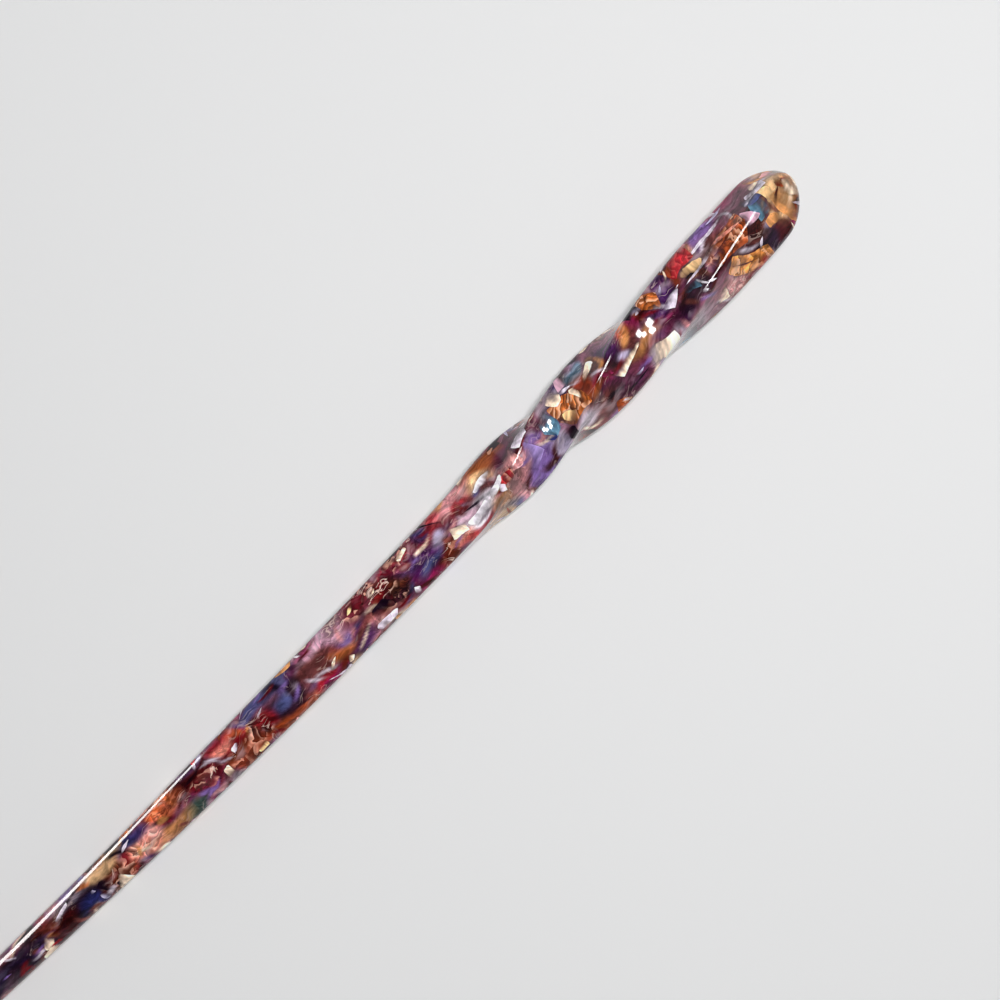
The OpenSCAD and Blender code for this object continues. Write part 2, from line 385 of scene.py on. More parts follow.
class StickSizes(bpy.types.PropertyGroup):
    """Sizes of the stick, which follow the CAD part, and how finely it is meshed."""

    length: FloatProperty(
        name="Length", description="From the point to the crown",
        default=0.180, unit="LENGTH")
    handle_width: FloatProperty(
        name="Handle width", description="Across the flats of the handle",
        default=0.0071, unit="LENGTH")
    sway: FloatProperty(
        name="Sway", description="Greatest sideways sway of the centre line",
        default=0.0017, unit="LENGTH")
    dip: FloatProperty(
        name="Dip", description="How far the middle hangs below the line between the ends",
        default=0.0015, unit="LENGTH")
    crown_length: FloatProperty(
        name="Crown", description="Length of the domed crown",
        default=0.0054, unit="LENGTH")
    point_length: FloatProperty(
        name="Point", description="Length of the rounded point",
        default=0.0014, unit="LENGTH")
    rings: IntProperty(
        name="Sections", description="Sections along the stick", default=720, min=60)
    corner_strips: IntProperty(
        name="Corner strips", description="Strips round each corner of a section",
        default=15, min=4)
    side_strips: IntProperty(
        name="Side strips", description="Strips across each side of a section",
        default=18, min=4)


class AcetateLook(bpy.types.PropertyGroup):
    """Finish of the pressed acetate."""

    polish: FloatProperty(
        name="Roughness", description="Roughness of the polished surface",
        default=0.06, min=0, max=1, subtype="FACTOR")
    binder: FloatVectorProperty(
        name="Binder", description="Colour of the clear binder between the chips",
        subtype="COLOR", size=3, default=(0.25, 0.115, 0.16))
    crisp_layers: IntProperty(
        name="Layers", description="Layers of crisp chips near the surface", default=9, min=1)
    soft_spread: IntProperty(
        name="Deep chips", description="Number of soft chips strewn round the stick",
        default=420, min=0)
    filler_spread: IntProperty(
        name="Filler", description="Number of small chips strewn deep in the binder",
        default=1500, min=0)
    shred_spread: IntProperty(
        name="Shreds", description="Number of shreds strewn through the soft chips",
        default=420, min=0)
    crisp_spread: IntProperty(
        name="Crisp chips", description="Number of crisp chips strewn over the hidden sides",
        default=700, min=0)
    seed: IntProperty(name="Seed", description="Seed of the strewn chips", default=7)


class StudioLook(bpy.types.PropertyGroup):
    """Table, light and camera."""

    table_colour: FloatVectorProperty(
        name="Table", description="Colour of the table top",
        subtype="COLOR", size=3, default=(0.795, 0.797, 0.80))
    ambient: FloatProperty(
        name="Ambient", description="Strength of the even light from all round", default=0.34)
    scale: FloatProperty(
        name="Scale", description="Width of the picture at the stick",
        default=0.1205, unit="LENGTH")
    lens: FloatProperty(
        name="Lens", description="Focal length in millimetres on a 36 mm wide sensor",
        default=85.0)
    slope: FloatProperty(
        name="Slope", description="Angle at which the stick rises across the picture",
        default=math.radians(44.83), subtype="ANGLE")


def cos_sin(angle):
    """Cosine and sine of an angle in radians."""
    return math.cos(angle), math.sin(angle)


def section_column(at, name):
    """A column of the section table at places in percent, smoothed with no overshoot."""
    table = np.array(SECTIONS)
    xs, ys = table[:, 0], table[:, SECTION_COLUMNS.index(name)]
    span = np.diff(xs)
    rise = np.diff(ys) / span
    slope = np.zeros(len(xs))
    slope[0], slope[-1] = rise[0], rise[-1]
    for i, (before, after) in enumerate(zip(rise[:-1], rise[1:]), 1):
        if before * after > 0:
            slope[i] = 2 * before * after / (before + after)
    i = np.clip(np.searchsorted(xs, at, side="right") - 1, 0, len(xs) - 2)
    t = (at - xs[i]) / span[i]
    return (
        ys[i] * (1 + 2 * t) * (1 - t) ** 2
        + slope[i] * span[i] * t * (1 - t) ** 2
        + ys[i + 1] * t ** 2 * (3 - 2 * t)
        + slope[i + 1] * span[i] * t ** 2 * (t - 1)
    )


class StickForm:
    """The stick's surface: its stations, its sections and the pose in which it rests."""

    def __init__(self, sizes):
        self.sizes = sizes
        self.strips = (sizes.corner_strips, sizes.side_strips)
        stations = self.stations(sizes.rings)
        self.rings = np.array([self.ring(x, share) for x, share in stations])
        self.bar = np.array([self.bar_ring(x, share) for x, share in stations])
        self.centres = np.array([self.centre(x) for x, _ in stations])
        self.tilt = self.rest_tilt()

    def stations(self, count):
        """Places of the sections, each with the share of its full size that it has there."""
        length, point, crown = (
            self.sizes.length, self.sizes.point_length, self.sizes.crown_length)
        point_rings, crown_rings = 16, 28
        # The smallest ring of an end, as an angle from its tip in degrees.
        smallest = 2
        point_angles = np.radians(np.linspace(smallest, 90, point_rings, endpoint=False))
        crown_angles = np.radians(np.linspace(90, smallest, crown_rings))[1:]
        middle = count - point_rings - crown_rings
        return (
            [(point * (1 - math.cos(a)), math.sin(a)) for a in point_angles]
            + [(x, 1.0) for x in np.linspace(point, length - crown, middle)]
            + [(length - crown * (1 - math.cos(a)), math.sin(a)) for a in crown_angles]
        )

    def outline(self, width, radius):
        """Points of a square with rounded corners, two columns."""
        corners, sides = self.strips
        corner, side = width / 2 - radius, width - 2 * radius
        angles = np.radians(90) * np.arange(corners + 1) / corners
        arc = corner + radius * np.stack([np.cos(angles), np.sin(angles)], 1)
        steps = np.arange(1, sides) / sides
        flat = np.stack([corner - side * steps, np.full(sides - 1, width / 2)], 1)
        quarter = np.concatenate([arc, flat])
        turned = []
        for _ in range(4):
            turned.append(quarter)
            quarter = np.stack([-quarter[:, 1], quarter[:, 0]], 1)
        return np.concatenate(turned)

    def section(self, x, share):
        """A section's outline about its own centre, before the bar is twisted."""
        at = 100 * x / self.sizes.length
        width = self.sizes.handle_width * section_column(at, "width") / 100
        soft = section_column(at, "corner") / 100
        radius = width / 2 * min(ROUNDEST, soft + (1 - soft) * (1 - share))
        return share * self.outline(width, radius)

    def centre(self, x):
        """Centre of the section at a place along the stick."""
        at = 100 * x / self.sizes.length
        sway = self.sizes.sway * section_column(at, "sway") / 100
        return -sway, -self.sizes.dip * math.sin(math.pi * x / self.sizes.length)

    def turn(self, x):
        """Angle of the section about the X axis: the twist is left-handed."""
        return -math.pi / 2 * section_column(100 * x / self.sizes.length, "turn")

    def ring(self, x, share):
        """A section in its place along the stick."""
        flat, angle, (y, z) = self.section(x, share), self.turn(x), self.centre(x)
        c, s = cos_sin(angle)
        return np.stack([
            np.full(len(flat), x),
            y + flat[:, 0] * c - flat[:, 1] * s,
            z + flat[:, 0] * s + flat[:, 1] * c,
        ], 1)

    def bar_ring(self, x, share):
        """The same section in the straight bar that the stick was twisted from."""
        flat = self.section(x, share)
        return np.stack([np.full(len(flat), x), flat[:, 0], flat[:, 1]], 1)

    def rest_tilt(self):
        """Tilt that levels the lowest straight floor under two sections either side of the balance."""
        x, z = self.rings[:, 0, 0], self.rings[:, :, 2].min(1)
        balance = BALANCE * self.sizes.length
        near, far = x < balance, x > balance
        slope = (z[far][None] - z[near][:, None]) / (x[far][None] - x[near][:, None])
        height = z[near][:, None] + slope * (balance - x[near][:, None])
        return -math.atan(slope.ravel()[height.argmin()])

    def placed(self):
        """The sections as the stick rests, over the middle of the CAD node's box."""
        c, s = cos_sin(self.tilt)
        tipped = self.rings @ np.array([[c, 0, s], [0, 1, 0], [-s, 0, c]])
        low, high = tipped.min((0, 1)), tipped.max((0, 1))
        box_low, box_high = np.array(STICK_BOX[0]), np.array(STICK_BOX[1])
        shift = (box_low + box_high) / 2 - (low + high) / 2
        shift[2] = box_low[2] - low[2]
        slack = np.abs((high - low) - (box_high - box_low)).max()
        if slack > BOX_SLACK:
            raise RuntimeError(f"the stick's box is {slack / MM:.2f} mm off the CAD node's")
        return tipped + shift


class SkinMap:
    """Where each point of the skin lies on the chart of chips, in millimetres."""

    # The chart's middle line leans a little from the line between the stick's ends.
    SHIFT, LEAN = 0.02, 0.0106
    # On steep sides the measure across runs on at this share of the distance along the skin.
    STEEPEST = 0.5

    def __init__(self, form):
        rings = form.rings / MM
        self.from_crown = form.sizes.length / MM - rings[:, 0, 0]
        self.across, self.girth = self.unroll(rings[:, :, 1:], form.centres / MM)
        self.across += self.LEAN * self.from_crown[:, None] - self.SHIFT
        self.middle = form.centres[:, 0] / MM + self.LEAN * self.from_crown - self.SHIFT
        self.half = np.ptp(rings[:, :, 1], axis=1) / 2
        self.rings = rings

    def unroll(self, points, centres):
        """How far across each point is, as seen from above, and round the sides on to below."""
        step = np.roll(points, -1, 1) - points
        run = np.maximum(np.abs(step[:, :, 0]), self.STEEPEST * np.hypot(step[:, :, 0], step[:, :, 1]))
        girth = run.sum(1)
        at = np.cumsum(run, 1) - run
        y, z = points[:, :, 0] - centres[:, :1], points[:, :, 1] - centres[:, 1:]
        lean = np.arctan2(y, z)
        after = np.roll(lean, -1, 1)
        rows = np.arange(len(points))
        k = ((lean > 0) & (after <= 0) & (z > 0)).argmax(1)
        share = lean[rows, k] / (lean[rows, k] - after[rows, k])
        top = at[rows, k] + share * run[rows, k]
        offset = at - top[:, None]
        offset = (offset + girth[:, None] / 2) % girth[:, None] - girth[:, None] / 2
        return centres[:, :1] - offset, girth


def srgb(red, green, blue):
    """A colour as a screen shows it, 0 to 255, in the scene's linear values."""
    shown = np.array((red, green, blue)) / 255
    return np.where(shown <= 0.04045, shown / 12.92, ((shown + 0.055) / 1.055) ** 2.4)


class ChipField:
    """Lays chips on the skin: soft ones into one coat of colour, crisp ones into layers.

    A crisp layer keeps three measures at each point: how deep it lies inside the
    chip and how far off a streak's middle line, in millimetres, and how far past
    the line where the chip sinks into the binder, as a share of the chip. The
    shader draws the outlines from them, so they are crisper than the mesh.
    """

    # How far outside a chip its measures are kept, so that no face spans two chips,
    # and what a layer holds as the depth where it has no chip.
    MARGIN = 0.36
    OUTSIDE = -1.0
    # Chips narrower than this are streaks that run out to a point at both ends.
    STREAK = 0.55
    # Waves that carry the chips' outlines along with them: how many, how far each
    # reaches, and the shortest and longest. Soft chips follow them most.
    WAVES, WAVE_REACH, WAVE_LENGTHS = 14, 0.11, (2.5, 7.0)
    SOFT_DRIFT, FLAKE_DRIFT, STREAK_DRIFT = 1.0, 0.5, 0.2
    # How far beyond its own size the points round a chip are looked at.
    SOFT_SPARE, CRISP_SPARE = 0.8, 0.56
    # Crumple of the bare binder.
    BARE_CRUMPLE = 0.1
    # How far a soft chip that is strewn, and one that is charted, hides what lies under it.
    STREWN_COVER, CHARTED_COVER = 0.9, 0.85
    # How much lighter or darker than its colour a soft chip or a crisp one may be,
    # and how much a soft one changes from end to end.
    SOFT_SHADE, CRISP_SHADE, SOFT_CHANGE = 0.08, 0.06, 0.18
    # Outline of a soft chip: the power that rounds it off, and how far it bends and
    # wavers, as shares of its width.
    ROUND_OFF, SOFT_BEND, SOFT_WAVER = 2.6, 0.12, 0.14
    # Blur of a soft chip's edge, as a share of its width, and the widest.
    SOFT_BLUR, WIDEST_BLUR = 0.28, 0.45
    # How far the ends, sides and corners of a flake lean, in radians, how uneven its
    # reach is, and where its corners may be cut, as shares: past 1 leaves them whole.
    END_LEAN, SIDE_LEAN, CORNER_LEAN = 0.3, 0.1, 0.2
    UNEVEN, CORNER_CUTS = (0.94, 1.06), (0.7, 0.9, 1.2, 1.2)
    # Half width of a streak at its middle and how far it bends, as shares of its width.
    STREAK_HALF, STREAK_BEND = 0.4, 0.5
    # Where a crisp chip begins to sink, from its middle, as a share of the chip, and
    # how much later a wholly crumpled one does.
    SINKS, FILM = (-0.35, 0.75), 0.5
    # How far from the crown's end the chips that lie flat on its tip reach, and how
    # deep the others sink under them, as a share of a chip.
    TIP, TIP_DEPTH = 1.5, 2.6
    # How far strewn chips may reach over the edge of the charted side, and how far
    # their angles stray, in degrees, on the other sides and all over.
    OVERLAP, WIDE_STRAY, NARROW_STRAY = 0.4, 25, 12

    def __init__(self, skin, look):
        self.skin = skin
        self.random = np.random.default_rng(look.seed)
        self.palette = {name: srgb(*shown) for name, *shown in CHIP_COLOURS}
        shape = skin.across.shape
        self.drift = np.stack([self.waves(shape), self.waves(shape)])
        self.coat = np.empty((*shape, 4))
        self.coat[..., :3] = look.binder
        self.coat[..., 3] = self.BARE_CRUMPLE
        layers = look.crisp_layers
        self.inside = np.full((layers, *shape), self.OUTSIDE)
        self.aside = np.zeros((layers, *shape))
        self.fold = np.ones((layers, *shape))
        self.tint = np.zeros((layers, *shape, 4))

    def waves(self, shape):
        """A smooth random field over the skin, from waves that run in all directions."""
        field = np.zeros(shape)
        for _ in range(self.WAVES):
            way = self.random.normal(0, 1, 3)
            way *= math.tau / self.random.uniform(*self.WAVE_LENGTHS) / np.linalg.norm(way)
            phase = self.random.uniform(0, math.tau)
            field += self.WAVE_REACH * np.sin(self.skin.rings @ way + phase)
        return field

    def near(self, chip, spare, drift):
        """The sections near a chip, and each point's place along and across the chip."""
        from_crown, across, length, width, angle = chip[:5]
        skin, reach = self.skin, math.hypot(length, width) / 2 + spare
        rows = np.flatnonzero(np.abs(skin.from_crown - from_crown) < reach)
        rows = slice(rows[0], rows[-1] + 1)
        girth = skin.girth[rows, None]
        u = (from_crown - skin.from_crown[rows])[:, None] + drift * self.drift[0, rows]
        v = (skin.across[rows] - across + girth / 2) % girth - girth / 2
        v = v + drift * self.drift[1, rows]
        c, s = cos_sin(math.radians(angle))
        return rows, u * c + v * s, v * c - u * s

    def shade(self, colour, spread):
        """A chip's own tint: its colour, a little lighter or darker."""
        return self.palette[colour] * (1 + spread * self.random.uniform(-1, 1))

    def on_tip(self, rows):
        """How near the crown's end each section is: 0 past the tip, 1 on it."""
        return np.clip(self.TIP - self.skin.from_crown[rows], 0, 1)[:, None]

    def lay_tip(self, chip):
        """Paints a chip that lies flat on the crown's tip."""
        across, up, angle = chip[0], chip[1], chip[4]
        rows = np.flatnonzero(self.skin.from_crown < self.TIP)
        rows = slice(rows[0], rows[-1] + 1)
        middle = self.skin.rings[-1, :, 1:].mean(0) + (across, up)
        y, z = np.moveaxis(self.skin.rings[rows, :, 1:] - middle, 2, 0)
        c, s = cos_sin(math.radians(angle))
        self.paint(chip, rows, y * c + z * s, z * c - y * s, self.on_tip(rows))

    def lay_soft(self, chip, cover=STREWN_COVER):
        """Paints a chip that lies deep in the binder."""
        self.paint(chip, *self.near(chip, self.SOFT_SPARE, self.SOFT_DRIFT), cover)

    def paint(self, chip, rows, a, b, cover):
        """Paints a chip with a blurred outline into the coat."""
        length, width, colour, crumple = chip[2], chip[3], chip[5], chip[6]
        phase = self.random.uniform(0, math.tau)
        bend = self.random.uniform(-self.SOFT_BEND, self.SOFT_BEND)
        b = b + bend * width * np.cos(math.pi * a / length)
        a = a + self.SOFT_WAVER * width * np.sin(4 * b / width + phase)
        far = np.abs(2 * a / length) ** self.ROUND_OFF + np.abs(2 * b / width) ** self.ROUND_OFF
        inside = (1 - far ** (1 / self.ROUND_OFF)) * min(length, width) / 2
        blur = min(self.WIDEST_BLUR, self.SOFT_BLUR * width)
        share = np.clip((inside + blur) / (2 * blur), 0, 1)
        share = (cover * share ** 2 * (3 - 2 * share))[..., None]
        light = 1 + self.SOFT_CHANGE * np.sin(3 * a / length + phase)
        chip_coat = np.concatenate([
            self.shade(colour, self.SOFT_SHADE) * light[..., None],
            np.full((*a.shape, 1), crumple)], 2)
        self.coat[rows] += share * (chip_coat - self.coat[rows])

    def flake(self, a, b, length, width):
        """How deep each place lies inside an irregular flake with straight edges."""
        inside = np.full(a.shape, np.inf)
        for quarter in range(4):
            size = (length, width)[quarter % 2]
            lean = (self.END_LEAN, self.SIDE_LEAN)[quarter % 2]
            turn = math.pi / 2 * quarter + self.random.normal(0, lean)
            reach = size / 2 * self.random.uniform(*self.UNEVEN)
            c, s = cos_sin(turn)
            inside = np.minimum(inside, reach - a * c - b * s)
            turn = math.pi / 2 * (quarter + 0.5) + self.random.normal(0, self.CORNER_LEAN)
            c, s = cos_sin(turn)
            corner = (length * abs(c) + width * abs(s)) / 2
            cut = corner * self.random.choice(self.CORNER_CUTS)
            inside = np.minimum(inside, cut - a * c - b * s)
        return inside

    def free_layer(self, rows, reach):
        """The lowest layer that is free round a chip, over those that it lies on; none if all are full."""
        deep = self.inside[:, rows] - np.abs(self.aside[:, rows])
        lowest = 0
        for layer in range(len(deep)):
            if ((deep[layer] > 0) & (reach > 0)).any():
                lowest = layer + 1
        for layer in range(lowest, len(deep)):
            taken = self.inside[layer, rows] > self.OUTSIDE
            if not (taken & (reach > -self.MARGIN)).any():
                return layer
        return None

    def lay_crisp(self, chip):
        """Puts a chip into a layer near the surface; false if none is free."""
        length, width, colour, crumple = chip[2], chip[3], chip[5], chip[6]
        is_streak = width < self.STREAK
        drift = self.STREAK_DRIFT if is_streak else self.FLAKE_DRIFT
        rows, a, b = self.near(chip, self.CRISP_SPARE, drift)
        turn, sinks = self.random.uniform(0, math.tau), self.random.uniform(*self.SINKS)
        sinks += self.FILM * crumple
        c, s = cos_sin(turn)
        if is_streak:
            bend = self.random.uniform(-self.STREAK_BEND, self.STREAK_BEND) * width
            b = b + bend * np.cos(math.pi * a / length)
            inside = self.STREAK_HALF * width * np.maximum(1 - (2 * a / length) ** 2, -2)
            aside = b
            reach = np.minimum(inside - np.abs(b), length / 2 - np.abs(a))
            fold = sinks + math.copysign(1, c) * 2 * a / length
        else:
            inside = reach = self.flake(a, b, length, width)
            aside = np.zeros(a.shape)
            fold = sinks + 2 * a / length * c + 2 * b / width * s
        fold = fold - self.TIP_DEPTH * self.on_tip(rows)
        layer = self.free_layer(rows, reach)
        if layer is None:
            return False
        there = reach > -self.MARGIN
        for field, value in ((self.inside, np.maximum(inside, -self.MARGIN)),
                             (self.aside, aside), (self.fold, fold)):
            field[layer, rows][there] = value[there]
        self.tint[layer, rows][there] = (*self.shade(colour, self.CRISP_SHADE), crumple)
        return True

    def strew(self, chips, count, lay, clear=True):
        """Lays chips of these kinds in random places: clear of the charted side, or all over."""
        skin, whole = self.skin, self.skin.from_crown.max()
        for _ in range(count):
            kind = chips[self.random.integers(len(chips))]
            from_crown = self.random.uniform(0, whole)
            row = np.abs(skin.from_crown - from_crown).argmin()
            off = self.random.uniform(-0.5, 0.5) * skin.girth[row]
            length, width, angle, colour, crumple = kind[-5:]
            charted = from_crown < CHARTED_LENGTH + length / 2
            if clear and charted and abs(off) < skin.half[row] + width / 2 - self.OVERLAP:
                continue
            angle += self.random.normal(0, self.WIDE_STRAY if clear else self.NARROW_STRAY)
            lay((from_crown, skin.middle[row] + off, length, width, angle, colour, crumple))


def lay_chips(skin, look):
    """Lays all chips: soft ones and shreds, then crisp ones, then those on the crown's tip."""
    field = ChipField(skin, look)
    field.strew(FILLER_CHIPS, look.filler_spread, field.lay_soft, clear=False)
    field.strew(SOFT_CHIPS, look.soft_spread, field.lay_soft)
    for chip in SOFT_CHIPS:
        field.lay_soft(chip, field.CHARTED_COVER)
    field.strew(SHREDS, look.shred_spread, field.lay_soft, clear=False)
    for chip in CRISP_CHIPS:
        if not field.lay_crisp(chip):
            raise RuntimeError(f"no layer is free for the chip {chip}")
    field.strew(CRISP_CHIPS, look.crisp_spread, field.lay_crisp)
    for chip in TIP_CHIPS:
        field.lay_tip(chip)
    return field


def grid_faces(rows, columns):
    """Quads between closed rings, and the two poles that close the ends."""
    faces = []
    for i in range(rows - 1):
        for k in range(columns):
            a, b = i * columns + k, i * columns + (k + 1) % columns
            faces.append((a, b, b + columns, a + columns))
    first, last = rows * columns, rows * columns + 1
    for k in range(columns):
        after = (k + 1) % columns
        faces.append((first, after, k))
        faces.append((last, (rows - 1) * columns + k, (rows - 1) * columns + after))
    return faces


def with_poles(grid):
    """A grid of values as one list of rows, with each end's mean for its pole."""
    flat = grid.reshape(-1, grid.shape[-1])
    return np.concatenate([flat, [grid[0].mean(0), grid[-1].mean(0)]])


def keep(mesh, name, kind, values):
    """Stores values as a point attribute of the mesh."""
    attribute = mesh.attributes.new(name, kind, "POINT")
    slot = "color" if kind == "FLOAT_COLOR" else "vector"
    attribute.data.foreach_set(slot, with_poles(values).astype(np.float32).ravel())


def place_object(name, data):
    """An object with this data, put into the scene."""
    made = bpy.data.objects.new(name, data)
    bpy.context.scene.collection.objects.link(made)
    return made


def build_stick(sizes, look):
    """The stick's mesh, with its chips and its place in the untwisted bar as attributes."""
    form = StickForm(sizes)
    rings = form.placed()
    mesh = bpy.data.meshes.new("hair_stick")
    mesh.from_pydata(with_poles(rings).tolist(), [], grid_faces(*rings.shape[:2]))
    mesh.shade_smooth()
    field = lay_chips(SkinMap(form), look)
    keep(mesh, "bar", "FLOAT_VECTOR", form.bar / MM)
    keep(mesh, "coat", "FLOAT_COLOR", field.coat)
    for k in range(look.crisp_layers):
        measures = np.stack([field.inside[k], field.aside[k], field.fold[k]], 2)
        keep(mesh, f"chips_{k}", "FLOAT_VECTOR", measures)
        keep(mesh, f"tints_{k}", "FLOAT_COLOR", field.tint[k])
    mesh.update()
    return place_object("hair_stick", mesh)


class Wiring:
    """Adds nodes to a tree and joins them, so that a chain of nodes reads as a sum."""

    def __init__(self, tree):
        self.tree = tree

    def add(self, kind, sockets=None, **settings):
        """A node with its settings made and its sockets filled or joined."""
        node = self.tree.nodes.new(kind)
        for name, value in settings.items():
            setattr(node, name, value)
        for key, value in (sockets or {}).items():
            self.fill(node.inputs[key], value)
        return node

    def fill(self, socket, value):
        """Joins another node's socket to this one, or sets its value."""
        if isinstance(value, bpy.types.NodeSocket):
            self.tree.links.new(value, socket)
        else:
            socket.default_value = value

    def math(self, operation, a, b=0.0):
        """One sum on numbers."""
        return self.add("ShaderNodeMath", {0: a, 1: b}, operation=operation).outputs[0]

    def plus(self, a, b):
        """Two numbers added."""
        return self.math("ADD", a, b)

    def times(self, a, b):
        """Two numbers multiplied."""
        return self.math("MULTIPLY", a, b)

    def vector(self, operation, a, b):
        """One sum on vectors or colours."""
        return self.add("ShaderNodeVectorMath", {0: a, 1: b}, operation=operation).outputs[0]

    def scaled(self, a, scale):
        """A vector or colour times a number."""
        return self.add(
            "ShaderNodeVectorMath", {0: a, "Scale": scale}, operation="SCALE").outputs[0]

    def rotated(self, place, angles):
        """A place turned about the origin by three angles."""
        return self.add(
            "ShaderNodeVectorRotate", {"Vector": place, "Rotation": angles},
            rotation_type="EULER_XYZ").outputs[0]

    def parts(self, a):
        """The three numbers of a vector."""
        return self.add("ShaderNodeSeparateXYZ", {0: a}).outputs

    def noise(self, place, scale, detail, roughness=0.5):
        """Smooth noise, as a number and as a colour."""
        return self.add("ShaderNodeTexNoise", {
            "Vector": place, "Scale": scale, "Detail": detail, "Roughness": roughness}).outputs

    def stirred(self, place, scale, reach):
        """A place moved about by smooth noise."""
        stir = self.vector("SUBTRACT", self.noise(place, scale, 2.0)[1], (0.5, 0.5, 0.5))
        return self.vector("ADD", place, self.scaled(stir, reach))

    def mix(self, factor, a, b):
        """A mix of two colours."""
        return self.add(
            "ShaderNodeMix", {0: factor, 6: a, 7: b}, data_type="RGBA", clamp_factor=True).outputs[2]

    def veil(self, cover, under, shown):
        """One colour, given as a screen shows it, laid over another."""
        return self.mix(cover, under, (*srgb(*shown), 1))

    def faded(self, share, tone):
        """A tone that counts in part: 1 where its share is none, itself where it is whole."""
        return self.add("ShaderNodeMix", {0: share, 2: 1.0, 3: tone}).outputs[0]

    def ramp(self, factor, stops):
        """A ramp of greys through (place, tone) stops."""
        node = self.add("ShaderNodeValToRGB", {0: factor})
        elements = node.color_ramp.elements
        while len(elements) < len(stops):
            elements.new(1.0)
        for element, (place, tone) in zip(elements, stops):
            element.position, element.color = place, (tone, tone, tone, 1.0)
        return node.outputs[0]

    def between(self, value, low, high, out_low=0.0, out_high=1.0):
        """One number at low, another at high, smooth between."""
        return self.add(
            "ShaderNodeMapRange", {0: value, 1: low, 2: high, 3: out_low, 4: out_high},
            interpolation_type="SMOOTHSTEP").outputs[0]

    def stored(self, name):
        """What the mesh stores at its points under a name."""
        return self.add("ShaderNodeAttribute", attribute_name=name).outputs

    def group(self, tree, sockets):
        """A node group put to use."""
        return self.add("ShaderNodeGroup", sockets, node_tree=tree).outputs


def new_group(name, given, results):
    """An empty node group with its sockets: its wiring, its inputs and its output node's sockets."""
    group = bpy.data.node_groups.new(name, "ShaderNodeTree")
    for label, kind in given:
        group.interface.new_socket(label, in_out="INPUT", socket_type=kind)
    for label, kind in results:
        group.interface.new_socket(label, in_out="OUTPUT", socket_type=kind)
    w = Wiring(group)
    return group, w, w.add("NodeGroupInput").outputs, w.add("NodeGroupOutput").inputs


def crumple_group():
    """Folded film: curved ribbons side by side, each painted with shade along one edge and light along the
    other, some of them pale, another way in each cell.
    """
    group, w, given, result = new_group(
        "crumpled film",
        (("Place", "NodeSocketVector"), ("Size", "NodeSocketFloat")),
        (("Tone", "NodeSocketFloat"), ("Rim", "NodeSocketFloat")))
    stir_scale, stir_reach = 0.5, 1.6
    place = w.stirred(given["Place"], stir_scale, stir_reach)
    place = w.scaled(place, w.math("DIVIDE", 1.0, given["Size"]))
    cell_shape = (0.6, 1.0, 1.0)
    drawn = w.vector("MULTIPLY", place, cell_shape)
    cell = w.add("ShaderNodeTexVoronoi", {"Vector": drawn, "Scale": 1.0}).outputs
    turned = w.rotated(place, w.scaled(cell["Color"], math.pi))
    curve = w.noise(turned, scale=1.0, detail=2.0)[0]
    along, side, deep = w.parts(turned)
    ribbons, curviness = 3.6, 4.6
    run = w.plus(w.times(side, ribbons), w.times(curve, curviness))
    ribbon = w.math("FLOOR", run)
    breaks, stagger = 1.1, 0.37
    piece = w.math("FLOOR", w.plus(w.times(along, breaks), w.times(ribbon, stagger)))
    rise = w.math("FRACT", run)
    fold = w.add("ShaderNodeCombineXYZ", {0: ribbon, 1: piece, 2: w.math("FLOOR", deep)})
    pick = w.add(
        "ShaderNodeTexWhiteNoise", {"Vector": fold.outputs[0]}, noise_dimensions="3D")
    pick = w.add("ShaderNodeSeparateColor", {0: pick.outputs["Color"]}).outputs
    darkest, spread = 0.45, 0.8
    tone = w.plus(w.times(pick[0], spread), darkest)
    # Each ribbon is painted from shade along one edge to light along the other.
    fold_shade_tone, fold_light_tone = 0.5, 1.4
    tone = w.times(tone, w.between(rise, 0.0, 1.0, fold_shade_tone, fold_light_tone))
    # Some ribbons carry pale film over their painted lit half.
    some_ribbons = w.between(pick[1], 0.4, 0.8)
    lit_fold_half = w.between(rise, 0.35, 0.85, 0.1, 1.0)
    w.fill(result["Tone"], tone)
    w.fill(result["Rim"], w.times(some_ribbons, lit_fold_half))
    return group


# Colours that the material lays over its chips, as a screen shows them, 0 to 255.
MILK = (214, 200, 206)
NEAR_FILM = (238, 204, 180)
DEEP_FILM = (230, 192, 174)
# Thin lines that were drawn out in the binder. Each follows a level of the wisps,
# and shows in patches: so much of it at one value of their noise, so much at another.
LINE_CORE = 0.004
DRAWN_LINES = (
    # level, edge, patch value and share, other value and share, colour
    (0.5, 0.02, 0.5, 0.0, 0.6, 0.8, (236, 218, 208)),
    (0.44, 0.022, 0.38, 0.7, 0.5, 0.0, (44, 18, 34)),
)
# How much shorter the pattern is measured along the bar than across it, so that it
# is drawn out, in the binder and in the chips.
BINDER_DRAWN = (0.2, 1.0, 1.0)
CHIP_DRAWN = (0.22, 1.0, 1.0)


